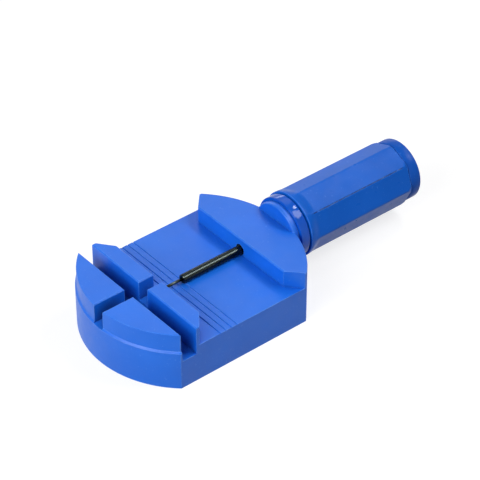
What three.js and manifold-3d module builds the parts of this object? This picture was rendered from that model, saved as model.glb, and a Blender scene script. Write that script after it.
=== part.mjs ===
// Watch link remover: a moulded bed with two slotted walls, and a screw feed turned by a faceted handle.
// Millimetres, +Z up. The origin is on the underside, below the face that the watch band is pressed against.
// The spindle lies along +X, from the band towards the handle.

import * as THREE from "three";
import { mergeVertices } from "three/addons/utils/BufferGeometryUtils.js";
import Module from "manifold-3d";

const wasm = await Module();
wasm.setup();

// Plan of the moulded body: a round front and a round rear, cut by two straight sides
const BODY_HALF_WIDTH = 22;
const FRONT_ARC_RADIUS = 29.5;
const REAR_ARC_RADIUS = 30.5;

// Along the middle, from the front: outer anvil, band slot, inner wall, bed and rear block
const OUTER_ANVIL_LENGTH = 10.3;
const BAND_SLOT_WIDTH = 4.6;
const INNER_WALL_THICKNESS = 4.8;
const BED_LENGTH = 27.5;
const REAR_BLOCK_LENGTH = 13.8;

// Heights: the bed above the underside, the rest from the bed
const BED_HEIGHT = 11.5;
const ANVIL_RISE = 5.9;
const BAND_SLOT_DROP = 2.6;
const SPINDLE_BED_GAP = 0.15;

// Narrow bevelled ledge that the outer anvil stands back behind
const LEDGE_WIDTH = 0.48;
const LEDGE_RISE = 0.5;
const EDGE_ROUND = 0.3;

// Slanting cuts at the ends of the walls, and the slot that the link's pin leaves through
const INNER_WALL_CUT_LENGTH = 3.9;
const INNER_WALL_CUT_WIDTH = 4.9;
const REAR_WALL_CUT_LENGTH = 3.9;
const REAR_WALL_CUT_WIDTH = 4.2;
const PIN_SLOT_WIDTH = 3.6;

// Guide lines scored across the bed
const SCORE_FIRST_X = 3;
const SCORE_PITCH = 1.85;
const SCORE_COUNT = 4;
const SCORE_WIDTH = 0.5;
const SCORE_DEPTH = 0.25;

// Hollow underside with its lattice of ribs
const SKIRT_WALL = 2;
const RIB_WIDTH = 1.2;
const CELLS_LONG = 6;
const CELLS_WIDE = 4;
const BED_FLOOR_WALL = 2.6;
const SLOT_FLOOR_WALL = 2.3;
const BLOCK_ROOF_WALL = 2.6;
const BORE_FLOOR_WALL = 2.2;
const BORE_ROOF_WALL = 0.75;

// Boss that the collar seats on, its rear face a little behind the round rear of the body
const BOSS_RADIUS = 8.2;
const BOSS_LENGTH = 1.6;
const BOSS_REACH = 0.1;
const BOSS_EDGE_ROUND = 0.45;

// Screw feed: an M2.5 thread
const THREAD_RADIUS = 1.25;
const SPINDLE_POINT_CHAMFER = 0.25;
const HEX_ACROSS_FLATS = 5;
const HEX_CORNER_CHAMFER = 0.3;
const NUT_THICKNESS = 2;
const SPINDLE_HEAD_THICKNESS = 1.7;
const WASHER_RADIUS = 3;
const WASHER_THICKNESS = 0.5;
const FEED_NUT_DEPTH = 5.7;
const FEED_NUT_WEB = 1.3;
const HEX_TURN_DEGREES = 30;

// Pusher pin and its spares, the pin's tip just clear of the inner wall
const PIN_TIP_GAP = 2.85;
const PIN_RADIUS = 0.4;
const PIN_EXPOSED_LENGTH = 5;
const PIN_SHANK_LENGTH = 4.2;
const PIN_TIP_CHAMFER = 0.12;
const SPARE_PIN_COUNT = 3;
const SPARE_PIN_CIRCLE_RADIUS = 3.2;
const SPARE_PIN_HOLE_DEPTH = 4.2;

// Glossy collar bush that closes the rear bore
const COLLAR_RADIUS = 9.12;
const COLLAR_THICKNESS = 2.8;
const COLLAR_EDGE_ROUND = 0.3;
const SLEEVE_WALL = 1.15;

// Faceted handle
const HANDLE_MOUTH_GAP = 0.35;
const HANDLE_LENGTH = 36.35;
const HANDLE_LIP_RADIUS = 9.55;
const HANDLE_LIP_LENGTH = 0.8;
const HANDLE_LIP_ROUND = 0.3;
const HANDLE_CORNER_DROP = 0.13;
const HANDLE_FLATS = 8;
const HANDLE_FLATS_TURN_DEGREES = 2;
const HANDLE_END_EASE_LENGTH = 2.4;
const HANDLE_END_EASE_DROP = 0.27;
const FLAT_RUN_OUT = 2.4;
const MOUTH_BORE_RADIUS = 4.5;
const MOUTH_BORE_DEPTH = 5;
const PARTITION_THICKNESS = 7;
const STORE_BORE_RADIUS = 6.6;

// End cap that closes the pin store
const CAP_STEP = 0.7;
const CAP_LENGTH = 3.55;
const CAP_EDGE_ROUND = 0.3;
const CAP_PLUG_LENGTH = 5;
const PLUG_CHAMFER = 0.4;

// Clearances
const SEAT_GAP = 0.3;
const SEAM_GAP = 0.15;
const THREAD_CLEARANCE = 0.2;
const SPINDLE_CLEARANCE = 0.35;
const BUSH_CLEARANCE = 0.2;
const PIN_CLEARANCE = 0.15;
const OVERRUN = 1;

// Smoothness of the round forms
const LARGE_SIDES = 80;
const SMALL_SIDES = 28;
const ARC_STEPS = 44;
const ROUND_STEPS = 3;

// Radii worked out from the thread and the handle's lip
const SPINDLE_HOLE_RADIUS = THREAD_RADIUS + SPINDLE_CLEARANCE;
const NUT_HOLE_RADIUS = THREAD_RADIUS + THREAD_CLEARANCE;
const SLEEVE_RADIUS = SPINDLE_HOLE_RADIUS + SLEEVE_WALL;
const SLEEVE_BORE_RADIUS = SLEEVE_RADIUS + BUSH_CLEARANCE;
const PIN_HOLE_RADIUS = PIN_RADIUS + PIN_CLEARANCE;
const HEX_POCKET_ACROSS_FLATS = HEX_ACROSS_FLATS + 2 * THREAD_CLEARANCE;
const HANDLE_CORNER_RADIUS = HANDLE_LIP_RADIUS - HANDLE_CORNER_DROP;
const HANDLE_END_RADIUS = HANDLE_CORNER_RADIUS - HANDLE_END_EASE_DROP;
const CAP_RADIUS = HANDLE_LIP_RADIUS - CAP_STEP;

// Heights worked out from the bed
const ANVIL_HEIGHT = BED_HEIGHT + ANVIL_RISE;
const BAND_SLOT_FLOOR_HEIGHT = BED_HEIGHT - BAND_SLOT_DROP;
const AXIS_HEIGHT = BED_HEIGHT + SPINDLE_BED_GAP + THREAD_RADIUS;
const REAR_HEIGHT = AXIS_HEIGHT + SLEEVE_BORE_RADIUS + BORE_ROOF_WALL;
const ABOVE_WALLS = Math.max(ANVIL_HEIGHT, REAR_HEIGHT) + OVERRUN;

// Places of the body along X, the rear face of the inner wall at zero
const INNER_WALL_FRONT_X = -INNER_WALL_THICKNESS;
const OUTER_ANVIL_REAR_X = INNER_WALL_FRONT_X - BAND_SLOT_WIDTH;
const BODY_FRONT_X = OUTER_ANVIL_REAR_X - OUTER_ANVIL_LENGTH;
const REAR_WALL_X = BED_LENGTH;
const BODY_REAR_X = REAR_WALL_X + REAR_BLOCK_LENGTH;
const FRONT_ARC_CENTRE_X = BODY_FRONT_X + FRONT_ARC_RADIUS;
const REAR_ARC_CENTRE_X = BODY_REAR_X - REAR_ARC_RADIUS;
const BED_MIDDLE_X = REAR_WALL_X / 2;
const BAND_SLOT_MIDDLE_X = INNER_WALL_FRONT_X - BAND_SLOT_WIDTH / 2;
const PAST_SIDES = BODY_HALF_WIDTH + OVERRUN;

// Places of the screw feed, the collar and the handle along X
const FEED_NUT_FRONT_X = REAR_WALL_X + FEED_NUT_DEPTH;
const FEED_NUT_REAR_X = FEED_NUT_FRONT_X + NUT_THICKNESS;
const SLEEVE_BORE_X = FEED_NUT_REAR_X + SEAT_GAP + FEED_NUT_WEB;
const SLEEVE_FRONT_X = SLEEVE_BORE_X + SEAT_GAP;
const BOSS_REAR_X = BODY_REAR_X + BOSS_REACH;
const BOSS_FRONT_X = BOSS_REAR_X - BOSS_LENGTH;
const COLLAR_FRONT_X = BOSS_REAR_X + SEAM_GAP;
const COLLAR_REAR_X = COLLAR_FRONT_X + COLLAR_THICKNESS;
const HANDLE_MOUTH_X = COLLAR_REAR_X + HANDLE_MOUTH_GAP;
const PARTITION_FRONT_X = HANDLE_MOUTH_X + MOUTH_BORE_DEPTH;
const PARTITION_REAR_X = PARTITION_FRONT_X + PARTITION_THICKNESS;
const HANDLE_REAR_X = HANDLE_MOUTH_X + HANDLE_LENGTH;
const SPINDLE_FRONT_X = PIN_TIP_GAP + PIN_EXPOSED_LENGTH;
const HEAD_REAR_X = PARTITION_REAR_X - SEAT_GAP;
const HEAD_FRONT_X = HEAD_REAR_X - SPINDLE_HEAD_THICKNESS;
const HEAD_POCKET_X = HEAD_FRONT_X - SEAT_GAP;
const LOCK_WASHER_X = PARTITION_FRONT_X - SEAT_GAP - WASHER_THICKNESS;
const LOCK_NUT_X = LOCK_WASHER_X - SEAT_GAP - NUT_THICKNESS;
const CAP_FRONT_X = HANDLE_REAR_X + SEAM_GAP;
const CAP_REAR_X = CAP_FRONT_X + CAP_LENGTH;
const PLUG_FRONT_X = CAP_FRONT_X - CAP_PLUG_LENGTH;
const PIN_LENGTH = PIN_EXPOSED_LENGTH + PIN_SHANK_LENGTH;
const SPARE_PIN_X = PLUG_FRONT_X + SPARE_PIN_HOLE_DEPTH - SEAT_GAP - PIN_LENGTH;

const BLUE_SATIN = { color: 0x2a62dc, roughness: 0.42, metalness: 0 };
const BLUE_GLOSS = { color: 0x285fd8, roughness: 0.12, metalness: 0 };
const BLACK_STEEL = { color: 0x1c1f20, roughness: 0.38, metalness: 0.85 };
const BRIGHT_STEEL = { color: 0x9ea3a6, roughness: 0.32, metalness: 1 };

// Solids and meshes

function toSolid(geometry) {
  const plain = geometry.clone();
  plain.deleteAttribute("normal");
  plain.deleteAttribute("uv");
  const merged = mergeVertices(plain);
  const mesh = new wasm.Mesh({
    numProp: 3,
    vertProperties: new Float32Array(merged.attributes.position.array),
    triVerts: new Uint32Array(merged.index.array),
  });
  return new wasm.Manifold(mesh);
}

function toGeometry(solid) {
  const mesh = solid.getMesh();
  const geometry = new THREE.BufferGeometry();
  geometry.setAttribute("position", new THREE.BufferAttribute(mesh.vertProperties, 3));
  geometry.setIndex(new THREE.BufferAttribute(mesh.triVerts, 1));
  geometry.computeVertexNormals();
  return geometry;
}

function part(name, solid, look) {
  const mesh = new THREE.Mesh(toGeometry(solid), new THREE.MeshStandardMaterial(look));
  mesh.name = name;
  return mesh;
}

// A body turned about the X axis. Each profile point is [x, radius], from the low end to the high end.
function turned(profile, sides, turnDegrees = 0) {
  const points = profile.map(([x, radius]) => new THREE.Vector2(radius, x));
  const geometry = new THREE.LatheGeometry(points, sides, THREE.MathUtils.degToRad(turnDegrees));
  geometry.rotateZ(-Math.PI / 2);
  return toSolid(geometry);
}

function rod(lowX, highX, radius, sides, turnDegrees = 0) {
  return turned([[lowX, 0], [lowX, radius], [highX, radius], [highX, 0]], sides, turnDegrees);
}

// Quarter round between two profile directions, as [x, radius] points
function quarterRound(centreX, centreRadius, size, startAngle) {
  const points = [];
  for (let step = 0; step <= ROUND_STEPS; step += 1) {
    const angle = startAngle - (step / ROUND_STEPS) * (Math.PI / 2);
    points.push([centreX + size * Math.cos(angle), centreRadius + size * Math.sin(angle)]);
  }
  return points;
}

function roundedLowEdge(x, radius, size) {
  return quarterRound(x + size, radius - size, size, Math.PI);
}

function roundedHighEdge(x, radius, size) {
  return quarterRound(x - size, radius - size, size, Math.PI / 2);
}

// A hexagonal prism along X with a flat on top
function hexPrism(lowX, highX, acrossFlats) {
  const cornerRadius = acrossFlats / 2 / Math.cos(Math.PI / 6);
  return rod(lowX, highX, cornerRadius, 6, HEX_TURN_DEGREES);
}

// A hexagon with its corners turned off at both ends
function chamferedHex(lowX, highX) {
  const cornerRadius = HEX_ACROSS_FLATS / 2 / Math.cos(Math.PI / 6);
  const faceRadius = cornerRadius - HEX_CORNER_CHAMFER;
  const blank = turned(
    [
      [lowX, 0],
      [lowX, faceRadius],
      [lowX + HEX_CORNER_CHAMFER, cornerRadius],
      [highX - HEX_CORNER_CHAMFER, cornerRadius],
      [highX, faceRadius],
      [highX, 0],
    ],
    SMALL_SIDES
  );
  return hexPrism(lowX, highX, HEX_ACROSS_FLATS).intersect(blank);
}

// An outline in plan raised from lowZ to highZ, with its top edge drawn in by a bevel
function raised(outline, lowZ, highZ, bevelWidth, bevelHeight, bevelSteps) {
  const geometry = new THREE.ExtrudeGeometry(outline, {
    depth: highZ - lowZ - bevelHeight,
    curveSegments: ARC_STEPS,
    bevelEnabled: true,
    bevelThickness: bevelHeight,
    bevelSize: bevelWidth,
    bevelOffset: -bevelWidth,
    bevelSegments: bevelSteps,
  });
  geometry.translate(0, 0, lowZ);
  return toSolid(geometry);
}

function polygon(points) {
  return new THREE.Shape(points.map(([x, y]) => new THREE.Vector2(x, y)));
}

// A plan outline cut straight up from lowZ to highZ
function prism(points, lowZ, highZ) {
  const geometry = new THREE.ExtrudeGeometry(polygon(points), {
    depth: highZ - lowZ,
    bevelEnabled: false,
  });
  geometry.translate(0, 0, lowZ);
  return toSolid(geometry);
}

// A profile of [x, z] points drawn straight across the body along Y, past both sides
function acrossBody(points) {
  const geometry = new THREE.ExtrudeGeometry(polygon(points), {
    depth: 2 * PAST_SIDES,
    bevelEnabled: false,
  });
  geometry.rotateX(Math.PI / 2);
  geometry.translate(0, PAST_SIDES, 0);
  return toSolid(geometry);
}

// A profile of [y, z] points drawn straight along X
function alongBody(points, lowX, highX) {
  const geometry = new THREE.ExtrudeGeometry(polygon(points), {
    depth: highX - lowX,
    bevelEnabled: false,
  });
  geometry.rotateX(Math.PI / 2);
  geometry.rotateZ(Math.PI / 2);
  geometry.translate(lowX, 0, 0);
  return toSolid(geometry);
}

// The body's outline in plan, drawn in by an inset: an arc at each end and straight sides
function wholeOutline(inset) {
  const frontRadius = FRONT_ARC_RADIUS - inset;
  const rearRadius = REAR_ARC_RADIUS - inset;
  const half = BODY_HALF_WIDTH - inset;
  const frontCorner = Math.asin(half / frontRadius);
  const rearCorner = Math.asin(half / rearRadius);
  const outline = new THREE.Shape();
  outline.absarc(FRONT_ARC_CENTRE_X, 0, frontRadius, Math.PI - frontCorner, Math.PI + frontCorner, false);
  outline.absarc(REAR_ARC_CENTRE_X, 0, rearRadius, -rearCorner, rearCorner, false);
  outline.closePath();
  return outline;
}

// Base block with its bevelled ledge, cut off flat at the underside
function baseBlock() {
  const top = BED_HEIGHT + LEDGE_RISE;
  const below = -LEDGE_RISE - OVERRUN;
  const block = raised(wholeOutline(0), below, top, LEDGE_WIDTH, LEDGE_RISE, 1);
  const corners = [
    [BODY_FRONT_X - OVERRUN, -PAST_SIDES],
    [BODY_REAR_X + OVERRUN, -PAST_SIDES],
    [BODY_REAR_X + OVERRUN, PAST_SIDES],
    [BODY_FRONT_X - OVERRUN, PAST_SIDES],
  ];
  return block.subtract(prism(corners, below - OVERRUN, 0));
}

// The length of the body's outline between two places, raised over the bed with its top edge eased
function upperBlock(inset, lowX, highX, height) {
  const low = BED_HEIGHT - OVERRUN;
  const length = [
    [lowX, -PAST_SIDES],
    [highX, -PAST_SIDES],
    [highX, PAST_SIDES],
    [lowX, PAST_SIDES],
  ];
  const block = raised(wholeOutline(inset), low, height, EDGE_ROUND, EDGE_ROUND, 2);
  return block.intersect(prism(length, low, ABOVE_WALLS));
}

// Everything that stands above the bed, before the bed and the slots are cut. Only the outer anvil
// stands back behind the ledge: the inner wall and the rear block are flush with the body's sides.
function upperBlocks() {
  return wasm.Manifold.union([
    upperBlock(LEDGE_WIDTH, BODY_FRONT_X - OVERRUN, BAND_SLOT_MIDDLE_X, ANVIL_HEIGHT),
    upperBlock(0, BAND_SLOT_MIDDLE_X, BED_MIDDLE_X, ANVIL_HEIGHT),
    upperBlock(0, BED_MIDDLE_X, BODY_REAR_X + OVERRUN, REAR_HEIGHT),
  ]);
}

// Open bed between the inner wall and the rear wall, with both top edges eased
function bedCut() {
  const profile = [
    [0, BED_HEIGHT],
    [REAR_WALL_X, BED_HEIGHT],
    [REAR_WALL_X, REAR_HEIGHT - EDGE_ROUND],
    [REAR_WALL_X + EDGE_ROUND, REAR_HEIGHT],
    [REAR_WALL_X + EDGE_ROUND, ABOVE_WALLS],
    [-EDGE_ROUND, ABOVE_WALLS],
    [-EDGE_ROUND, ANVIL_HEIGHT],
    [0, ANVIL_HEIGHT - EDGE_ROUND],
  ];
  return acrossBody(profile);
}

// A slot profile between two faces, with both top edges eased
function easedSlot(low, high, floor, top) {
  return [
    [low, floor],
    [high, floor],
    [high, top - EDGE_ROUND],
    [high + EDGE_ROUND, top],
    [high + EDGE_ROUND, ABOVE_WALLS],
    [low - EDGE_ROUND, ABOVE_WALLS],
    [low - EDGE_ROUND, top],
    [low, top - EDGE_ROUND],
  ];
}

function bandSlotCut() {
  const profile = easedSlot(OUTER_ANVIL_REAR_X, INNER_WALL_FRONT_X, BAND_SLOT_FLOOR_HEIGHT, ANVIL_HEIGHT);
  return acrossBody(profile);
}

function pinSlotCut() {
  const half = PIN_SLOT_WIDTH / 2;
  const profile = easedSlot(-half, half, BED_HEIGHT, ANVIL_HEIGHT);
  return alongBody(profile, BODY_FRONT_X - OVERRUN, OVERRUN);
}

// Slanting cuts at both ends of a wall, from its face towards its back: width along the face and
// length along the body's side
function wallEndCuts(faceX, length, width, direction) {
  const slope = width / length;
  const beyond = slope * OVERRUN;
  return [-1, 1].map((sign) => {
    const corners = [
      [faceX - direction * OVERRUN, sign * (BODY_HALF_WIDTH - width - beyond)],
      [faceX + direction * (length + OVERRUN), sign * (BODY_HALF_WIDTH + beyond)],
      [faceX - direction * OVERRUN, sign * (BODY_HALF_WIDTH + beyond)],
    ];
    const ordered = sign * direction > 0 ? corners : corners.reverse();
    return prism(ordered, BED_HEIGHT, ABOVE_WALLS);
  });
}

function scoreCuts() {
  const cuts = [];
  for (let index = 0; index < SCORE_COUNT; index += 1) {
    const x = SCORE_FIRST_X + index * SCORE_PITCH;
    const profile = [
      [x, BED_HEIGHT - SCORE_DEPTH],
      [x + SCORE_WIDTH / 2, BED_HEIGHT],
      [x + SCORE_WIDTH / 2, BED_HEIGHT + SCORE_DEPTH],
      [x - SCORE_WIDTH / 2, BED_HEIGHT + SCORE_DEPTH],
      [x - SCORE_WIDTH / 2, BED_HEIGHT],
    ];
    cuts.push(acrossBody(profile));
  }
  return cuts;
}

// Roof height of one underside cell, worked out from what stands or is cut above it
function cellRoof(lowX, highX, innerY, outerY) {
  const endCutLeft = Math.max(0, REAR_WALL_CUT_LENGTH - Math.max(0, lowX - REAR_WALL_X));
  const endCutY = BODY_HALF_WIDTH - (endCutLeft * REAR_WALL_CUT_WIDTH) / REAR_WALL_CUT_LENGTH;
  const slotLow = OUTER_ANVIL_REAR_X - SLOT_FLOOR_WALL;
  const slotHigh = INNER_WALL_FRONT_X + SLOT_FLOOR_WALL;
  const underBand = lowX < slotHigh && highX > slotLow;
  const underBed = lowX < REAR_WALL_X + BLOCK_ROOF_WALL || outerY > endCutY;
  const underBore = highX > REAR_WALL_X && innerY < SLEEVE_BORE_RADIUS + BLOCK_ROOF_WALL;
  const roofs = [Math.min(ANVIL_HEIGHT, REAR_HEIGHT) - BLOCK_ROOF_WALL];
  if (underBand) {
    roofs.push(BAND_SLOT_FLOOR_HEIGHT - SLOT_FLOOR_WALL);
  }
  if (underBed) {
    roofs.push(BED_HEIGHT - BED_FLOOR_WALL);
  }
  if (underBore) {
    roofs.push(AXIS_HEIGHT - SLEEVE_BORE_RADIUS - BORE_FLOOR_WALL);
  }
  return Math.min(...roofs);
}

// Cells between the ribs of the underside, cut to the inside of the skirt
function undersideCells() {
  const insideFront = BODY_FRONT_X + SKIRT_WALL;
  const insideRear = BODY_REAR_X - SKIRT_WALL;
  const insideHalf = BODY_HALF_WIDTH - SKIRT_WALL;
  const cellLength = (insideRear - insideFront - (CELLS_LONG - 1) * RIB_WIDTH) / CELLS_LONG;
  const cellWidth = (2 * insideHalf - (CELLS_WIDE - 1) * RIB_WIDTH) / CELLS_WIDE;
  const cells = [];
  for (let row = 0; row < CELLS_LONG; row += 1) {
    const lowX = insideFront + row * (cellLength + RIB_WIDTH);
    const highX = lowX + cellLength;
    for (let column = 0; column < CELLS_WIDE; column += 1) {
      const lowY = -insideHalf + column * (cellWidth + RIB_WIDTH);
      const highY = lowY + cellWidth;
      const innerY = Math.min(Math.abs(lowY), Math.abs(highY));
      const outerY = Math.max(Math.abs(lowY), Math.abs(highY));
      const corners = [[lowX, lowY], [highX, lowY], [highX, highY], [lowX, highY]];
      cells.push(prism(corners, -OVERRUN, cellRoof(lowX, highX, innerY, outerY)));
    }
  }
  const inside = raised(wholeOutline(SKIRT_WALL), -2 * OVERRUN, ANVIL_HEIGHT, EDGE_ROUND, EDGE_ROUND, 1);
  return wasm.Manifold.union(cells).intersect(inside);
}

// Disc that rises out of the rear block and carries the collar
function boss() {
  const profile = [
    [BOSS_FRONT_X, 0],
    ...roundedLowEdge(BOSS_FRONT_X, BOSS_RADIUS, BOSS_EDGE_ROUND),
    [BOSS_REAR_X, BOSS_RADIUS],
    [BOSS_REAR_X, 0],
  ];
  return turned(profile, LARGE_SIDES).translate(0, 0, AXIS_HEIGHT);
}

// Clearance hole, pocket of the moulded-in nut and bush bore, all on the spindle's axis
function feedBores() {
  const spindleHole = rod(REAR_WALL_X, BODY_REAR_X + OVERRUN, SPINDLE_HOLE_RADIUS, SMALL_SIDES);
  const nutPocket = hexPrism(
    FEED_NUT_FRONT_X - SEAT_GAP,
    FEED_NUT_REAR_X + SEAT_GAP,
    HEX_POCKET_ACROSS_FLATS
  );
  const bushBore = rod(SLEEVE_BORE_X, BODY_REAR_X + OVERRUN, SLEEVE_BORE_RADIUS, SMALL_SIDES);
  const bores = wasm.Manifold.union([spindleHole, nutPocket, bushBore]);
  return bores.translate(0, 0, AXIS_HEIGHT);
}

function baseBody() {
  const cuts = [
    bedCut(),
    bandSlotCut(),
    pinSlotCut(),
    ...wallEndCuts(0, INNER_WALL_CUT_LENGTH, INNER_WALL_CUT_WIDTH, -1),
    ...wallEndCuts(REAR_WALL_X, REAR_WALL_CUT_LENGTH, REAR_WALL_CUT_WIDTH, 1),
    ...scoreCuts(),
    undersideCells(),
  ];
  const block = baseBlock().add(upperBlocks()).subtract(wasm.Manifold.union(cuts));
  const solid = block.add(boss()).subtract(feedBores());
  return part("base_body", solid, BLUE_SATIN);
}

// Pieces on the spindle's axis, in their own frame with the axis at zero height

function hexNut(name, lowX) {
  const highX = lowX + NUT_THICKNESS;
  const hole = rod(lowX - OVERRUN, highX + OVERRUN, NUT_HOLE_RADIUS, SMALL_SIDES);
  return part(name, chamferedHex(lowX, highX).subtract(hole), BRIGHT_STEEL);
}

function collarBush() {
  const flange = turned(
    [
      [COLLAR_FRONT_X, 0],
      ...roundedLowEdge(COLLAR_FRONT_X, COLLAR_RADIUS, COLLAR_EDGE_ROUND),
      ...roundedHighEdge(COLLAR_REAR_X, COLLAR_RADIUS, COLLAR_EDGE_ROUND),
      [COLLAR_REAR_X, 0],
    ],
    LARGE_SIDES
  );
  const sleeve = turned(
    [
      [SLEEVE_FRONT_X, 0],
      [SLEEVE_FRONT_X, SLEEVE_RADIUS - PLUG_CHAMFER],
      [SLEEVE_FRONT_X + PLUG_CHAMFER, SLEEVE_RADIUS],
      [COLLAR_REAR_X - COLLAR_EDGE_ROUND, SLEEVE_RADIUS],
      [COLLAR_REAR_X - COLLAR_EDGE_ROUND, 0],
    ],
    SMALL_SIDES
  );
  const hole = rod(
    SLEEVE_FRONT_X - OVERRUN,
    COLLAR_REAR_X + OVERRUN,
    SPINDLE_HOLE_RADIUS,
    SMALL_SIDES
  );
  return part("collar_bush", flange.add(sleeve).subtract(hole), BLUE_GLOSS);
}

// A plain pin with a broken edge at its tip, its tip at x zero
function pin(name) {
  const profile = [
    [0, 0],
    [0, PIN_RADIUS - PIN_TIP_CHAMFER],
    [PIN_TIP_CHAMFER, PIN_RADIUS],
    [PIN_LENGTH, PIN_RADIUS],
    [PIN_LENGTH, 0],
  ];
  return part(name, turned(profile, SMALL_SIDES), BLACK_STEEL);
}

function pusherPin() {
  const mesh = pin("pusher_pin");
  mesh.position.x = PIN_TIP_GAP;
  return mesh;
}

// Screwed rod with a hexagon head behind and a socket for the pusher pin in front
function spindle() {
  const shank = turned(
    [
      [SPINDLE_FRONT_X, 0],
      [SPINDLE_FRONT_X, THREAD_RADIUS - SPINDLE_POINT_CHAMFER],
      [SPINDLE_FRONT_X + SPINDLE_POINT_CHAMFER, THREAD_RADIUS],
      [HEAD_REAR_X - SPINDLE_HEAD_THICKNESS / 2, THREAD_RADIUS],
      [HEAD_REAR_X - SPINDLE_HEAD_THICKNESS / 2, 0],
    ],
    SMALL_SIDES
  );
  const socket = rod(
    SPINDLE_FRONT_X - OVERRUN,
    SPINDLE_FRONT_X + PIN_SHANK_LENGTH + SEAT_GAP,
    PIN_HOLE_RADIUS,
    SMALL_SIDES
  );
  const head = chamferedHex(HEAD_FRONT_X, HEAD_REAR_X);
  return part("spindle", shank.add(head).subtract(socket), BLACK_STEEL);
}

function lockWasher() {
  const highX = LOCK_WASHER_X + WASHER_THICKNESS;
  const disc = rod(LOCK_WASHER_X, highX, WASHER_RADIUS, SMALL_SIDES);
  const hole = rod(LOCK_WASHER_X - OVERRUN, highX + OVERRUN, NUT_HOLE_RADIUS, SMALL_SIDES);
  return part("lock_washer", disc.subtract(hole), BRIGHT_STEEL);
}

// Eight-sided cutter that leaves the lip round and runs out in a slope behind it
function flatsEnvelope() {
  const clearRadius = (HANDLE_LIP_RADIUS + OVERRUN) / Math.cos(Math.PI / HANDLE_FLATS);
  const lipRadius = HANDLE_LIP_RADIUS / Math.cos(Math.PI / HANDLE_FLATS);
  const slopeX = HANDLE_MOUTH_X + HANDLE_LIP_LENGTH;
  const profile = [
    [HANDLE_MOUTH_X - OVERRUN, 0],
    [HANDLE_MOUTH_X - OVERRUN, clearRadius],
    [slopeX, lipRadius],
  ];
  for (let step = 1; step <= ROUND_STEPS; step += 1) {
    const share = step / ROUND_STEPS;
    const drop = Math.sin((share * Math.PI) / 2);
    profile.push([
      slopeX + share * FLAT_RUN_OUT,
      lipRadius - drop * (lipRadius - HANDLE_CORNER_RADIUS),
    ]);
  }
  profile.push([HANDLE_REAR_X + OVERRUN, HANDLE_CORNER_RADIUS]);
  profile.push([HANDLE_REAR_X + OVERRUN, 0]);
  return turned(profile, HANDLE_FLATS, HANDLE_FLATS_TURN_DEGREES);
}

function handleBarrel() {
  const blank = turned(
    [
      [HANDLE_MOUTH_X, 0],
      ...roundedLowEdge(HANDLE_MOUTH_X, HANDLE_LIP_RADIUS, HANDLE_LIP_ROUND),
      [HANDLE_REAR_X - HANDLE_END_EASE_LENGTH, HANDLE_LIP_RADIUS],
      [HANDLE_REAR_X, HANDLE_END_RADIUS],
      [HANDLE_REAR_X, 0],
    ],
    LARGE_SIDES
  );
  const mouth = rod(HANDLE_MOUTH_X - OVERRUN, PARTITION_FRONT_X, MOUTH_BORE_RADIUS, SMALL_SIDES);
  const through = rod(
    PARTITION_FRONT_X - OVERRUN,
    PARTITION_REAR_X + OVERRUN,
    NUT_HOLE_RADIUS,
    SMALL_SIDES
  );
  const headPocket = hexPrism(HEAD_POCKET_X, PARTITION_REAR_X + OVERRUN, HEX_POCKET_ACROSS_FLATS);
  const store = rod(PARTITION_REAR_X, HANDLE_REAR_X + OVERRUN, STORE_BORE_RADIUS, LARGE_SIDES);
  const bores = wasm.Manifold.union([mouth, through, headPocket, store]);
  return part("handle_barrel", blank.intersect(flatsEnvelope()).subtract(bores), BLUE_SATIN);
}

function sparePinPlaces() {
  const places = [];
  for (let index = 0; index < SPARE_PIN_COUNT; index += 1) {
    const angle = (index / SPARE_PIN_COUNT) * 2 * Math.PI;
    places.push([SPARE_PIN_CIRCLE_RADIUS * Math.sin(angle), SPARE_PIN_CIRCLE_RADIUS * Math.cos(angle)]);
  }
  return places;
}

// Cap with a plug that closes the store and blind holes that hold the spare pins
function endCap() {
  const plugRadius = STORE_BORE_RADIUS - BUSH_CLEARANCE;
  const profile = [
    [PLUG_FRONT_X, 0],
    [PLUG_FRONT_X, plugRadius - PLUG_CHAMFER],
    [PLUG_FRONT_X + PLUG_CHAMFER, plugRadius],
    [CAP_FRONT_X, plugRadius],
    [CAP_FRONT_X, CAP_RADIUS],
    ...roundedHighEdge(CAP_REAR_X, CAP_RADIUS, CAP_EDGE_ROUND),
    [CAP_REAR_X, 0],
  ];
  const holes = sparePinPlaces().map(([y, z]) => {
    const hole = rod(
      PLUG_FRONT_X - OVERRUN,
      PLUG_FRONT_X + SPARE_PIN_HOLE_DEPTH,
      PIN_HOLE_RADIUS,
      SMALL_SIDES
    );
    return hole.translate(0, y, z);
  });
  const solid = turned(profile, LARGE_SIDES).subtract(wasm.Manifold.union(holes));
  return part("end_cap", solid, BLUE_SATIN);
}

function sparePins() {
  return sparePinPlaces().map(([y, z], index) => {
    const mesh = pin(`spare_pin_${index + 1}`);
    mesh.position.set(SPARE_PIN_X, y, z);
    return mesh;
  });
}

const spindleLine = new THREE.Group();
spindleLine.position.z = AXIS_HEIGHT;
spindleLine.add(
  collarBush(),
  hexNut("feed_nut", FEED_NUT_FRONT_X),
  pusherPin(),
  spindle(),
  lockWasher(),
  hexNut("lock_nut", LOCK_NUT_X),
  handleBarrel(),
  endCap(),
  ...sparePins()
);

const watchLinkRemover = new THREE.Group();
watchLinkRemover.add(baseBody(), spindleLine);

export default watchLinkRemover;
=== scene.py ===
import math

import bmesh
import bpy
from mathutils import Matrix, Vector

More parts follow.
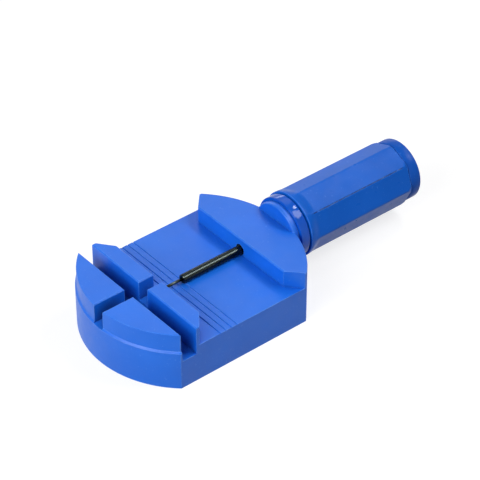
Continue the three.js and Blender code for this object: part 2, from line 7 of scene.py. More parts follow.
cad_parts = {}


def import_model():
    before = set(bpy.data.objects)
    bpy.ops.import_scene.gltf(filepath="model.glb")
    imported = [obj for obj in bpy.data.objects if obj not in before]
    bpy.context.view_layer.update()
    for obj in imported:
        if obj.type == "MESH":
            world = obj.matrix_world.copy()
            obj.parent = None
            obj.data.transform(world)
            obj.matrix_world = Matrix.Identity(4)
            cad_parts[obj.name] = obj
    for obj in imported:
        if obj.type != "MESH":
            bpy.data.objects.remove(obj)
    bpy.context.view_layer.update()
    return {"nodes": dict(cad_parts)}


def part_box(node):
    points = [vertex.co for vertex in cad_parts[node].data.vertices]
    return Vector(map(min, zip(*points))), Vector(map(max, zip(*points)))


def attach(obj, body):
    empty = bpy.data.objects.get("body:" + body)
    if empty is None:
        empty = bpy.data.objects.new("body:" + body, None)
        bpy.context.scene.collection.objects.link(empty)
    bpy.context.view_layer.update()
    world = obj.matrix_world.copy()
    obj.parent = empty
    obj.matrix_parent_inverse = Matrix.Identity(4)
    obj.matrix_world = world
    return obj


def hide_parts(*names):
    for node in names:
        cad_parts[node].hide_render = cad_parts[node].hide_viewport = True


# Watch link remover: its rounded pieces, surfaces, floor and light.
# Metres, +Z up. The spindle lies along +X and the middle plane is y = 0.

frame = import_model()

MM = 0.001
TURN = 2 * math.pi

# Camera, fitted to the photograph
LENS_MM = 170.34
SENSOR_MM = 36
CAMERA_AZIMUTH_DEGREES = -39.44
CAMERA_ELEVATION_DEGREES = 38.35
CAMERA_DISTANCE = 596.84 * MM
CAMERA_RIGHT = 21.24 * MM
CAMERA_UP = 23.44 * MM
NEAREST_SEEN = 10 * MM
FARTHEST_SEEN = 20

# The underside, the spindle's axis and the places along it, read from the frame
UNDERSIDE_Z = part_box("base_body")[0].z
SPINDLE_LOW, SPINDLE_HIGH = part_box("spindle")
COLLAR_LOW, COLLAR_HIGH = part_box("collar_bush")
BARREL_LOW, BARREL_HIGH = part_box("handle_barrel")
CAP_LOW, CAP_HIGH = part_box("end_cap")
AXIS_Z = (COLLAR_LOW.z + COLLAR_HIGH.z) / 2

# Thread of the spindle, right-handed, its socket and hexagon head, and the tips of the pins
THREAD_PITCH = 0.45 * MM
THREAD_CREST_RADIUS = 1.25 * MM
THREAD_ROOT_RADIUS = 1.1 * MM
THREAD_END_X = 49.2 * MM
THREAD_COLUMNS = 36
THREAD_PLACE_SHARES = (0, 0.24, 0.42, 0.58, 0.76)
THREAD_DEPTH_SHARES = (0, 0, 1, 1, 0)
SOCKET_RADIUS = 0.55 * MM
SOCKET_DEPTH = 4.5 * MM
HEAD_ACROSS_FLATS = 5 * MM
HEAD_THICKNESS = 1.7 * MM
HEAD_CHAMFER = 0.3 * MM
PIN_TIP_ROUND = 0.12 * MM

# Outside of the handle barrel
LIP_RADIUS = 9.55 * MM
LIP_LENGTH = 0.25 * MM
LIP_ROUND = 0.12 * MM
FLATS = 8
FLATS_TURN_DEGREES = 2
FLAT_DISTANCE = 8.703 * MM
FLAT_RUN_OUT = 3.4 * MM
CORNER_ROUND = 1.1 * MM
EVEN_STEP_DEGREES = 2.5
CORNER_STEP_DEGREES = 0.45
CORNER_STEPS = 5
END_EASE_LENGTH = 1.6 * MM
END_EASE_DROP = 0.22 * MM
BARREL_END_ROUND = 0.12 * MM

# Broken line left on the barrel where the halves of its mould met
PARTING_LINE_DEGREES = 137
PARTING_LINE_DEPTH = 0.14 * MM
PARTING_LINE_HALF_DEGREES = 0.9
PARTING_LINE_STEP = 0.9 * MM
PARTING_LINE_SHARES = (0.9, 1, 0.75, 0.15, 0.85, 1, 0.95, 0.5, 0.9, 0.2, 1)
PARTING_LINE_HALF_WIDTH = 0.19 * MM
PARTING_LINE_START = 46.4 * MM
PARTING_LINE_END = 79.8 * MM
PARTING_LINE_FADE = 1 * MM

# Inside of the handle barrel
BORE_EASE = 0.15 * MM
MOUTH_BORE_RADIUS = 4.5 * MM
MOUTH_BORE_DEPTH = 5 * MM
PARTITION_THICKNESS = 7 * MM
NUT_HOLE_RADIUS = 1.45 * MM
HEAD_POCKET_DEPTH = 2.3 * MM
HEAD_POCKET_ACROSS_FLATS = 5.4 * MM
STORE_RADIUS = 6.6 * MM

# Collar bush, its rim slightly crowned
COLLAR_RADIUS = 9.12 * MM
COLLAR_THICKNESS = 2.8 * MM
COLLAR_ROUND = 0.22 * MM
COLLAR_CROWN = 0.035 * MM
SLEEVE_RADIUS = 2.75 * MM
SLEEVE_CHAMFER = 0.4 * MM
SPINDLE_HOLE_RADIUS = 1.6 * MM

# End cap
CAP_RADIUS = 8.85 * MM
CAP_LENGTH = 3.55 * MM
CAP_ROUND = 0.3 * MM
CAP_EASE = 0.12 * MM
PLUG_RADIUS = 6.4 * MM
PLUG_CHAMFER = 0.4 * MM
SPARE_PIN_COUNT = 3
SPARE_PIN_HOLE_RADIUS = 0.55 * MM
SPARE_PIN_HOLE_DEPTH = 4.2 * MM

# Softened edges of the moulded body and the small steel pieces
BODY_EDGE_ROUND = 0.15 * MM
SMALL_EDGE_ROUND = 0.08 * MM
EDGE_SEGMENTS = 2
FLAT_FACE_WEIGHT = 60
SHARP_DEGREES = 30
FLAT_DEGREES = 0.4
WELD = 0.001 * MM

# Smoothness of the round pieces
ROUND_SIDES = 144
PIN_SIDES = 32
HOLE_SIDES = 32
ROUND_STEPS = 5
PIN_TIP_STEPS = 3
RUN_OUT_STEPS = 14
EASE_STEPS = 6
CROWN_STEPS = 8

# Colours, linear
SATIN_BLUE = (0.006, 0.15, 0.74)
SATIN_BLUE_DEEP = (0.005, 0.133, 0.68)
HANDLE_BLUE = (0.004, 0.122, 0.62)
HANDLE_BLUE_DEEP = (0.003, 0.106, 0.55)
# The cap's blues are a darker copy of the same blue plastic: painted shade
CAP_SHADED_BLUE = (0.006, 0.092, 0.49)
CAP_SHADED_BLUE_DEEP = (0.005, 0.08, 0.43)
GLOSS_BLUE = (0.003, 0.095, 0.56)
GLOSS_BLUE_DEEP = (0.002, 0.08, 0.5)
# Painted shade: the dark blue put into slots, grooves, holes and the parting line
PAINTED_SHADE_BLUE = (0.004, 0.02, 0.13)
# Pale blue of the specks, and of the edges, which are partly wear and partly painted highlight
PALE_WEAR_AND_HIGHLIGHT_BLUE = (0.14, 0.36, 0.88)
BLACK_OXIDE = (0.031, 0.04, 0.039)
BLACK_OXIDE_WORN = (0.14, 0.16, 0.15)
BRIGHT_STEEL = (0.55, 0.56, 0.57)
DULL_STEEL = (0.4, 0.41, 0.42)

# Refraction of the plastic, and shares of the usual reflection that the moulded surfaces return
PLASTIC_REFRACTION = 1.5
SATIN_REFLECTION_SHARE = 0.85
HANDLED_REFLECTION_SHARE = 0.2
GLOSS_REFLECTION_SHARE = 0.36

# Roughness at the low and at the high end of each surface's pattern, and of the floor
SATIN_ROUGHNESS = (0.36, 0.47)
HANDLED_ROUGHNESS = (0.26, 0.38)
GLOSS_ROUGHNESS = (0.02, 0.05)
BLACK_ROUGHNESS = (0.18, 0.11)
BRIGHT_ROUGHNESS = (0.22, 0.36)
FLOOR_ROUGHNESS = 0.9

# Noise patterns: waves to the millimetre, detail and roughness
CLOUDS = (0.07, 3, 0.5)
SPECKS = (1.3, 2, 0.5)
WEAR_AND_HIGHLIGHT_PATCHES = (0.5, 4, 0.6)
HANDLING_MARKS = (0.35, 4, 0.6)
FINE_GRAIN = (2.6, 3, 0.65)
RIPPLE = (0.25, 1, 0.5)
LINE_BREAKS = (0.6, 3, 0.5)
GLOSS_CLOUDS = (0.15, 2, 0.5)
GLOSS_SMEARS = (0.5, 4, 0.6)
GLOSS_RIPPLE = (0.35, 2, 0.5)
OXIDE_PATCHES = (1.5, 4, 0.6)
TOOL_MARKS = (3, 3, 0.5)
TOOL_MARK_STRETCH = (4, 1, 1)
ZINC_CLOUDS = (0.9, 4, 0.6)
ZINC_GRAIN = (6, 2, 0.5)

# The stretch of each pattern or mask over which its effect changes
CLOUD_SPAN = (0.35, 0.65)
SPECK_SPAN = (0.66, 0.74)
WEAR_AND_HIGHLIGHT_SPAN = (0.38, 0.62)
HANDLING_SPAN = (0.3, 0.7)
LINE_BREAK_SPAN = (0.38, 0.46)
SMEAR_SPAN = (0.3, 0.75)
OXIDE_SPAN = (0.35, 0.6)
ZINC_SPAN = (0.3, 0.7)
EDGE_SPAN = (0.86, 0.995)
STEEL_EDGE_SPAN = (0.8, 0.99)
# The next span sets the openness over which painted shade in slots and grooves fades in
SHADED_OPENNESS_SPAN = (0.2, 0.6)
WORN_AND_LIT_OPENNESS_SPAN = (0.5, 0.62)

# Shares of an effect at its strongest, or at its weakest where the name says least
# The next share is the strength of the painted shade in slots and grooves
PAINTED_SHADE_SHARE = 0.95
SPECK_SHARE = 0.16
# The next share is the strength of the pale edges, partly wear and partly painted highlight
EDGE_WEAR_AND_HIGHLIGHT_SHARE = 0.85
LEAST_WEAR_AND_HIGHLIGHT_SHARE = 0.3
LEAST_LINE_SHARE = 0.2
GRAIN_SHARE = 0.6
RIPPLE_SHARE = 0.4

# Strengths and depths of the surface relief
SATIN_RELIEF = 0.4
GLOSS_RELIEF = 0.25
STEEL_RELIEF = 0.3
SATIN_GRAIN_DEPTH = 0.02 * MM
GLOSS_GRAIN_DEPTH = 0.012 * MM
BLACK_GRAIN_DEPTH = 0.004 * MM
BRIGHT_GRAIN_DEPTH = 0.003 * MM

# Reaches and samples of the edge and crevice masks
EDGE_REACH = 0.35 * MM
STEEL_EDGE_REACH = 0.06 * MM
CREVICE_REACH = 6 * MM
EDGE_SAMPLES = 4
CREVICE_SAMPLES = 8

# Floor and surroundings: sizes in metres, greys, and the brightness that is seen in them
FLOOR_HALF = 3
FLOOR_DROP = 0.02 * MM
FLOOR_GREY = (0.32, 0.32, 0.32)
SEEN_FLOOR = 0.76
SEEN_FAR_FLOOR = 1
LIT_FLOOR_RADIUS = 0.3
FAR_FLOOR_RADIUS = 1.2
WORLD_LIGHT = 0.04
CEILING_GREY = 0.4
CEILING_START_RISE = 0.15

# Kinds of lamp: distance, width and height in metres
SOFTBOX = (1, 0.45, 0.45)
NEAR_BOX = (0.3, 0.15, 0.15)
SMALL_BOX = (0.7, 0.11, 0.06)
WINDOW_BOX = (0.7, 0.24, 0.27)
STRIP_BOX = (0.7, 0.3, 0.08)

# Lamps, all aimed at one point: azimuth from +X towards +Y, elevation in degrees, kind and watts
LAMP_AIM = (30 * MM, 0, 10 * MM)
LAMPS = {
    "front_softbox": (180, 22, SOFTBOX, 4.6),
    "left_softbox": (90, 22, SOFTBOX, 1.1),
    "right_softbox": (270, 22, SOFTBOX, 0.7),
    "rear_softbox": (50, 46, SOFTBOX, 0.8),
    "near_front_fill": (200, 40, NEAR_BOX, 0.4),
    "small_spot": (1.5, 55.2, SMALL_BOX, 0.6),
    "window_box": (323, 51, WINDOW_BOX, 2.1),
    "rear_strip": (58, 17, STRIP_BOX, 0.35),
}


# Mesh builders

def new_object(name, bm):
    mesh = bpy.data.meshes.new(name)
    bmesh.ops.recalc_face_normals(bm, faces=bm.faces)
    bm.to_mesh(mesh)
    bm.free()
    mesh.shade_smooth()
    piece = bpy.data.objects.new(name, mesh)
    bpy.context.scene.collection.objects.link(piece)
    return piece


def uniform_angles(count):
    return [TURN * step / count for step in range(count)]


def around_axis(x, radius, angle):
    """A point at a radius from the spindle's axis, the angle measured from +Y towards +Z."""
    return (x, radius * math.cos(angle), AXIS_Z + radius * math.sin(angle))


def radius_at(radius, angle):
    return radius(angle) if callable(radius) else radius


def add_rings(bm, stations, angles, closed=False):
    """A skin through rings round the axis, at stations of x and a radius that may follow the angle."""
    rings = []
    for x, radius in stations:
        points = [around_axis(x, radius_at(radius, angle), angle) for angle in angles]
        rings.append([bm.verts.new(point) for point in points])
    pairs = list(zip(rings, rings[1:]))
    if closed:
        pairs.append((rings[-1], rings[0]))
    for low, high in pairs:
        for step in range(len(angles)):
            after = (step + 1) % len(angles)
            bm.faces.new((low[step], low[after], high[after], high[step]))


def weld(bm):
    bmesh.ops.remove_doubles(bm, verts=bm.verts, dist=WELD)
    bmesh.ops.dissolve_degenerate(bm, edges=bm.edges, dist=WELD)


def corner(x, radius, size, start_degrees, steps=ROUND_STEPS):
    """Quarter round about a centre, from a start angle downwards, as stations."""
    points = []
    for step in range(steps + 1):
        angle = math.radians(start_degrees - 90 * step / steps)
        points.append((x + size * math.cos(angle), radius + size * math.sin(angle)))
    return points


def hexagon(across_flats):
    """A hexagon's outline, with a flat on top."""
    def radius(angle):
        from_flat = (angle - TURN / 4 + TURN / 12) % (TURN / 6) - TURN / 12
        return across_flats / 2 / math.cos(from_flat)
    return radius


def smaller(first, second):
    """The inner one of two outlines at every angle."""
    def radius(angle):
        return min(radius_at(first, angle), radius_at(second, angle))
    return radius


def smooth_step(share):
    return share * share * (3 - 2 * share)


def soften(piece, width):
    bevel = piece.modifiers.new("edges", "BEVEL")
    bevel.width = width
    bevel.segments = EDGE_SEGMENTS
    bevel.limit_method = "ANGLE"
    bevel.angle_limit = math.radians(SHARP_DEGREES)
    bevel.use_clamp_overlap = True
    bevel.miter_outer = "MITER_ARC"
    normals = piece.modifiers.new("normals", "WEIGHTED_NORMAL")
    normals.mode = "FACE_AREA"
    normals.weight = FLAT_FACE_WEIGHT


def apply_modifiers(piece):
    graph = bpy.context.evaluated_depsgraph_get()
    mesh = bpy.data.meshes.new_from_object(piece.evaluated_get(graph))
    piece.modifiers.clear()
    old = piece.data
    piece.data = mesh
    bpy.data.meshes.remove(old)


def on_the_underside(edge):
    return all(abs(vert.co.z - UNDERSIDE_Z) < WELD for vert in edge.verts)


def softened_copy(name, node_name, width):
    """A frame node's copy with rounded edges, and joined flat faces but for those that it stands on."""
    bm = bmesh.new()
    bm.from_mesh(frame["nodes"][node_name].data)
    weld(bm)
    bmesh.ops.dissolve_limit(
        bm,
        angle_limit=math.radians(FLAT_DEGREES),
        verts=[vert for vert in bm.verts if vert.co.z - UNDERSIDE_Z > WELD],
        edges=[edge for edge in bm.edges if not on_the_underside(edge)],
        use_dissolve_boundaries=False,
    )
    piece = new_object(name, bm)
    soften(piece, width)
    apply_modifiers(piece)
    return piece


# Materials

def material(name):
    made = bpy.data.materials.new(name)
    made.use_nodes = True
    tree = made.node_tree
    return made, tree, tree.nodes["Principled BSDF"]


def millimetres(tree, stretch=(1, 1, 1)):
    """Coordinates on the piece in millimetres, times a stretch along each axis."""
    place = tree.nodes.new("ShaderNodeTexCoord")
    mapping = tree.nodes.new("ShaderNodeMapping")
    mapping.inputs["Scale"].default_value = tuple(times / MM for times in stretch)
    tree.links.new(place.outputs["Object"], mapping.inputs["Vector"])
    return mapping.outputs["Vector"]


def noise(tree, place, per_mm, detail, roughness):
    made = tree.nodes.new("ShaderNodeTexNoise")
    made.inputs["Scale"].default_value = per_mm
    made.inputs["Detail"].default_value = detail
    made.inputs["Roughness"].default_value = roughness
    tree.links.new(place, made.inputs["Vector"])
    return made.outputs["Fac"]


def spread(tree, value, low, high, to_low=0, to_high=1):
    made = tree.nodes.new("ShaderNodeMapRange")
    tree.links.new(value, made.inputs["Value"])
    made.inputs["From Min"].default_value = low
    made.inputs["From Max"].default_value = high
    made.inputs["To Min"].default_value = to_low
    made.inputs["To Max"].default_value = to_high
    return made.outputs["Result"]


def feed(tree, made, values):
    """Give a node's inputs their values in turn. Each is a socket or a plain value."""
    for socket, value in zip(made.inputs, values):
        if isinstance(value, (int, float, tuple)):
            socket.default_value = value
        else:
            tree.links.new(value, socket)


def arithmetic(tree, operation, *values):
    """One operation on numbers, with its result kept between zero and one."""
    made = tree.nodes.new("ShaderNodeMath")
    made.operation = operation
    made.use_clamp = True
    feed(tree, made, values)
    return made.outputs["Value"]


def vector_arithmetic(tree, operation, *values):
    made = tree.nodes.new("ShaderNodeVectorMath")
    made.operation = operation
    feed(tree, made, values)
    return made


def product(tree, first, second):
    return arithmetic(tree, "MULTIPLY", first, second)


def blend(tree, share, first, second):
    """Colour between first and second. Each is a socket or a linear colour."""
    made = tree.nodes.new("ShaderNodeMixRGB")
    tree.links.new(share, made.inputs["Fac"])
    for name, value in (("Color1", first), ("Color2", second)):
        if isinstance(value, tuple):
            made.inputs[name].default_value = (*value, 1)
        else:
            tree.links.new(value, made.inputs[name])
    return made.outputs["Color"]


def edge_share(tree, radius, low, high):
    """One along rounded edges and zero on flat faces."""
    bevel = tree.nodes.new("ShaderNodeBevel")
    bevel.samples = EDGE_SAMPLES
    bevel.inputs["Radius"].default_value = radius
    flat = tree.nodes.new("ShaderNodeNewGeometry")
    normals = (bevel.outputs["Normal"], flat.outputs["Normal"])
    likeness = vector_arithmetic(tree, "DOT_PRODUCT", *normals)
    return spread(tree, likeness.outputs["Value"], low, high, 1, 0)


def openness(tree, reach):
    """One on open faces, falling towards zero in grooves and inside corners."""
    made = tree.nodes.new("ShaderNodeAmbientOcclusion")
    made.samples = CREVICE_SAMPLES
    made.only_local = True
    made.inputs["Distance"].default_value = reach
    return made.outputs["AO"]


def bump(tree, shader, height, strength, distance):
    made = tree.nodes.new("ShaderNodeBump")
    made.inputs["Strength"].default_value = strength
    made.inputs["Distance"].default_value = distance
    tree.links.new(height, made.inputs["Height"])
    tree.links.new(made.outputs["Normal"], shader.inputs["Normal"])


def crevice_painted_shade(tree):
    """Painted shade in the score grooves, the holes and the depth of the slots, and none in a plain
    corner.
    """
    return spread(tree, openness(tree, CREVICE_REACH), *SHADED_OPENNESS_SPAN, PAINTED_SHADE_SHARE, 0)


def parting_stripe(tree, place):
    """One within a thin stripe where the mould's parting plane meets the barrel."""
    turn = math.radians(PARTING_LINE_DEGREES)
    across = (0, math.sin(turn) / MM, -math.cos(turn) / MM)
    above = vector_arithmetic(tree, "SUBTRACT", place, (0, 0, AXIS_Z))
    away = vector_arithmetic(tree, "DOT_PRODUCT", above.outputs["Vector"], across)
    distance = arithmetic(tree, "ABSOLUTE", away.outputs["Value"])
    half = PARTING_LINE_HALF_WIDTH / MM
    return spread(tree, distance, half / 2, half, 1, 0)


def parting_length(tree, place):
    """One between the ends of the parting line, fading to zero at both."""
    along = tree.nodes.new("ShaderNodeSeparateXYZ")
    tree.links.new(place, along.inputs["Vector"])
    full_from = PARTING_LINE_START + PARTING_LINE_FADE
    full_to = PARTING_LINE_END - PARTING_LINE_FADE
    after = spread(tree, along.outputs["X"], PARTING_LINE_START, full_from)
    before = spread(tree, along.outputs["X"], full_to, PARTING_LINE_END, 1, 0)
    return product(tree, after, before)


def parting_painted_shade(tree):
    """Painted shade along the broken line that the mould left on the barrel."""
    place = tree.nodes.new("ShaderNodeTexCoord").outputs["Object"]
    breaks = noise(tree, millimetres(tree, (1, 0, 0)), *LINE_BREAKS)
    broken = spread(tree, breaks, *LINE_BREAK_SPAN, LEAST_LINE_SHARE, 1)
    stripe = product(tree, parting_stripe(tree, place), broken)
    return product(tree, stripe, parting_length(tree, place))


def edge_wear_and_highlight(tree, place):
    """Patchy pale edges that stand out, partly wear and partly painted highlight, and none on those
    inside corners.
    """
    edge = edge_share(tree, EDGE_REACH, *EDGE_SPAN)
    outward = spread(tree, openness(tree, CREVICE_REACH), *WORN_AND_LIT_OPENNESS_SPAN, 0, EDGE_WEAR_AND_HIGHLIGHT_SHARE)
    patchy = spread(tree, noise(tree, place, *WEAR_AND_HIGHLIGHT_PATCHES), *WEAR_AND_HIGHLIGHT_SPAN, LEAST_WEAR_AND_HIGHLIGHT_SHARE, 1)
    return product(tree, product(tree, edge, patchy), outward)


def satin_colour(tree, place, blues, shade_painter):
    """Clouded blue with faint specks, painted shade, and pale edges that are partly wear and partly
    painted highlight.
    """
    cloud = spread(tree, noise(tree, place, *CLOUDS), *CLOUD_SPAN)
    colour = blend(tree, cloud, *blues)
    specks = spread(tree, noise(tree, place, *SPECKS), *SPECK_SPAN, 0, SPECK_SHARE)
    colour = blend(tree, specks, colour, PALE_WEAR_AND_HIGHLIGHT_BLUE)
    # painted shade in recesses
    colour = blend(tree, shade_painter(tree), colour, PAINTED_SHADE_BLUE)
    # pale edges, partly wear and partly painted highlight
    return blend(tree, edge_wear_and_highlight(tree, place), colour, PALE_WEAR_AND_HIGHLIGHT_BLUE)


def satin_plastic(name, blues, shade_painter, reflection_share, roughness):
    """Moulded plastic with a fine grain over a slight ripple."""
    made, tree, shader = material(name)
    place = millimetres(tree)
    tree.links.new(satin_colour(tree, place, blues, shade_painter), shader.inputs["Base Color"])
    handled = spread(tree, noise(tree, place, *HANDLING_MARKS), *HANDLING_SPAN, *roughness)
    tree.links.new(handled, shader.inputs["Roughness"])
    shader.inputs["IOR"].default_value = PLASTIC_REFRACTION
    shader.inputs["Specular IOR Level"].default_value = reflection_share / 2
    fine = product(tree, noise(tree, place, *FINE_GRAIN), GRAIN_SHARE)
    ripple = product(tree, noise(tree, place, *RIPPLE), RIPPLE_SHARE)
    bump(tree, shader, arithmetic(tree, "ADD", fine, ripple), SATIN_RELIEF, SATIN_GRAIN_DEPTH)
    return made


def gloss_plastic():
    made, tree, shader = material("gloss_blue_plastic")
    place = millimetres(tree)
    cloud = spread(tree, noise(tree, place, *GLOSS_CLOUDS), *CLOUD_SPAN)
    tree.links.new(blend(tree, cloud, GLOSS_BLUE_DEEP, GLOSS_BLUE), shader.inputs["Base Color"])
    smear = spread(tree, noise(tree, place, *GLOSS_SMEARS), *SMEAR_SPAN, *GLOSS_ROUGHNESS)
    tree.links.new(smear, shader.inputs["Roughness"])
    shader.inputs["IOR"].default_value = PLASTIC_REFRACTION
    shader.inputs["Specular IOR Level"].default_value = GLOSS_REFLECTION_SHARE / 2
    bump(tree, shader, noise(tree, place, *GLOSS_RIPPLE), GLOSS_RELIEF, GLOSS_GRAIN_DEPTH)
    return made


def black_steel():
    made, tree, shader = material("black_oxide_steel")
    place = millimetres(tree)
    edge = edge_share(tree, STEEL_EDGE_REACH, *STEEL_EDGE_SPAN)
    patchy = spread(tree, noise(tree, place, *OXIDE_PATCHES), *OXIDE_SPAN)
    worn = product(tree, edge, patchy)
    tree.links.new(blend(tree, worn, BLACK_OXIDE, BLACK_OXIDE_WORN), shader.inputs["Base Color"])
    shader.inputs["Metallic"].default_value = 1
    tree.links.new(spread(tree, patchy, 0, 1, *BLACK_ROUGHNESS), shader.inputs["Roughness"])
    marks = noise(tree, millimetres(tree, TOOL_MARK_STRETCH), *TOOL_MARKS)
    bump(tree, shader, marks, STEEL_RELIEF, BLACK_GRAIN_DEPTH)
    return made


def bright_steel():
    made, tree, shader = material("bright_zinc_steel")
    place = millimetres(tree)
    cloud = noise(tree, place, *ZINC_CLOUDS)
    shade = spread(tree, cloud, *ZINC_SPAN)
    tree.links.new(blend(tree, shade, DULL_STEEL, BRIGHT_STEEL), shader.inputs["Base Color"])
    shader.inputs["Metallic"].default_value = 1
    tree.links.new(spread(tree, cloud, *ZINC_SPAN, *BRIGHT_ROUGHNESS), shader.inputs["Roughness"])
    bump(tree, shader, noise(tree, place, *ZINC_GRAIN), STEEL_RELIEF, BRIGHT_GRAIN_DEPTH)
    return made


# Pieces

def finish_piece(piece, body, slot, look, *nodes):
    piece.data.materials.clear()
    piece.data.materials.append(look)
    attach(piece, body)
    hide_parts(*nodes)


def collar_rim(face, rear):
    """Stations of the collar's rim: two rounded edges with a slight crown between them."""
    low = face + COLLAR_ROUND
    high = rear - COLLAR_ROUND
    shoulder = COLLAR_RADIUS - COLLAR_CROWN
    stations = list(corner(low, shoulder - COLLAR_ROUND, COLLAR_ROUND, 180))
    for step in range(1, CROWN_STEPS):
        share = step / CROWN_STEPS
        lift = COLLAR_CROWN * (1 - (2 * share - 1) ** 2)
        stations.append((low + share * (high - low), shoulder + lift))
    stations += corner(high, shoulder - COLLAR_ROUND, COLLAR_ROUND, 90)
    return stations


def collar():
    front = COLLAR_LOW.x
    rear = COLLAR_HIGH.x
    face = rear - COLLAR_THICKNESS
    stations = [
        (front, SPINDLE_HOLE_RADIUS),
        (front, SLEEVE_RADIUS - SLEEVE_CHAMFER),
        (front + SLEEVE_CHAMFER, SLEEVE_RADIUS),
        (face, SLEEVE_RADIUS),
        *collar_rim(face, rear),
        (rear, SPINDLE_HOLE_RADIUS),
    ]
    bm = bmesh.new()
    add_rings(bm, stations, uniform_angles(ROUND_SIDES), closed=True)
    weld(bm)
    return new_object("collar_bush_gloss", bm)


def flat_radius(distance):
    """Outline of the eight flats at a distance from the axis, with rounded corners."""
    half = TURN / FLATS / 2
    centre = (distance - CORNER_ROUND) / math.cos(half)
    reach = math.atan2(CORNER_ROUND * math.sin(half), centre + CORNER_ROUND * math.cos(half))
    turn = math.radians(FLATS_TURN_DEGREES)

    def radius(angle):
        from_corner = (angle - turn + half) % (2 * half) - half
        if abs(from_corner) > reach:
            return distance / math.cos(half - abs(from_corner))
        away = centre * math.sin(from_corner)
        return centre * math.cos(from_corner) + math.sqrt(CORNER_ROUND ** 2 - away ** 2)
    return radius


def grooved(outline, depth):
    """An outline with the groove of the parting line cut into both of its sides."""
    def radius(angle):
        away = abs((math.degrees(angle) - PARTING_LINE_DEGREES + 90) % 180 - 90)
        return outline(angle) - max(0, 1 - away / PARTING_LINE_HALF_DEGREES) * depth
    return radius


def from_corner_degrees(degrees, middle):
    return abs((degrees - middle + 180) % 360 - 180)


def barrel_angles():
    """Even steps with finer ones at the corners of the flats."""
    reach = CORNER_STEPS * CORNER_STEP_DEGREES
    degrees = [step * EVEN_STEP_DEGREES for step in range(round(360 / EVEN_STEP_DEGREES))]
    for index in range(FLATS):
        middle = FLATS_TURN_DEGREES + index * 360 / FLATS
        degrees = [d for d in degrees if from_corner_degrees(d, middle) > reach + CORNER_STEP_DEGREES]
        for step in range(-CORNER_STEPS, CORNER_STEPS + 1):
            degrees.append((middle + step * CORNER_STEP_DEGREES) % 360)
    return [math.radians(d) for d in sorted(degrees)]


def between(first, second, share):
    """An outline part of the way from one outline to another."""
    def radius(angle):
        return radius_at(first, angle) * (1 - share) + radius_at(second, angle) * share
    return radius


def moved_out(outline, distance):
    """An outline moved away from the axis."""
    def radius(angle):
        return outline(angle) + distance
    return radius


def run_out(flats, slope):
    """Stations where the round lip fades into the flats."""
    stations = []
    for step in range(1, RUN_OUT_STEPS + 1):
        share = step / RUN_OUT_STEPS
        outline = between(LIP_RADIUS, flats, smooth_step(share))
        stations.append((slope + share * FLAT_RUN_OUT, outline))
    return stations


def parting_line(flats, start, end):
    """Stations along the flats with the parting line's groove, deeper in some places than in others."""
    count = math.ceil((end - start) / PARTING_LINE_STEP)
    stations = []
    for step in range(1, count):
        depth = PARTING_LINE_DEPTH * PARTING_LINE_SHARES[step % len(PARTING_LINE_SHARES)]
        stations.append((start + (end - start) * step / count, grooved(flats, depth)))
    return stations


def eased_end(flats, start, rear):
    """Stations where the corners are turned off and the rear edge is rounded."""
    corner_radius = flats(math.radians(FLATS_TURN_DEGREES))
    high = rear - BARREL_END_ROUND
    stations = []
    for step in range(EASE_STEPS + 1):
        share = step / EASE_STEPS
        limit = corner_radius - END_EASE_DROP * share ** 2
        stations.append((start + share * (high - start), smaller(flats, limit)))
    outline = smaller(flats, corner_radius - END_EASE_DROP)
    for x, distance in corner(high, -BARREL_END_ROUND, BARREL_END_ROUND, 90)[1:]:
        stations.append((x, moved_out(outline, distance)))
    return stations


def barrel_outside():
    """Stations of the outside, from the lip over the run-out and along the flats to the eased end."""
    mouth = BARREL_LOW.x
    rear = BARREL_HIGH.x
    slope = mouth + LIP_LENGTH
    start = slope + FLAT_RUN_OUT
    end = rear - END_EASE_LENGTH
    flats = flat_radius(FLAT_DISTANCE)
    return [
        *corner(mouth + LIP_ROUND, LIP_RADIUS - LIP_ROUND, LIP_ROUND, 180),
        (slope, LIP_RADIUS),
        *run_out(flats, slope),
        *parting_line(flats, start, end),
        *eased_end(flats, end, rear),
    ]


def barrel():
    mouth = BARREL_LOW.x
    rear = BARREL_HIGH.x
    wall = mouth + MOUTH_BORE_DEPTH
    back = wall + PARTITION_THICKNESS
    pocket = back - HEAD_POCKET_DEPTH
    hexagonal = hexagon(HEAD_POCKET_ACROSS_FLATS)
    stations = [
        *barrel_outside(),
        (rear, STORE_RADIUS + BORE_EASE),
        (rear - BORE_EASE, STORE_RADIUS),
        (back, STORE_RADIUS),
        (back, hexagonal),
        (pocket, hexagonal),
        (pocket, NUT_HOLE_RADIUS),
        (wall, NUT_HOLE_RADIUS),
        (wall, MOUTH_BORE_RADIUS),
        (mouth + BORE_EASE, MOUTH_BORE_RADIUS),
        (mouth, MOUTH_BORE_RADIUS + BORE_EASE),
    ]
    bm = bmesh.new()
    add_rings(bm, stations, barrel_angles(), closed=True)
    weld(bm)
    return new_object("handle_barrel_faceted", bm)


def pin_drills(plug):
    """Cutters for the blind holes that hold the spare pins."""
    drills = bmesh.new()
    for index in range(SPARE_PIN_COUNT):
        low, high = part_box(f"spare_pin_{index + 1}")
        middle = (low + high) / 2
        drill = bmesh.ops.create_cone(
            drills,
            cap_ends=True,
            segments=HOLE_SIDES,
            radius1=SPARE_PIN_HOLE_RADIUS,
            radius2=SPARE_PIN_HOLE_RADIUS,
            depth=2 * SPARE_PIN_HOLE_DEPTH,
        )
        place = Matrix.Translation((plug, middle.y, middle.z)) @ Matrix.Rotation(TURN / 4, 4, "Y")
        bmesh.ops.transform(drills, matrix=place, verts=drill["verts"])
    return new_object("pin_drills", drills)


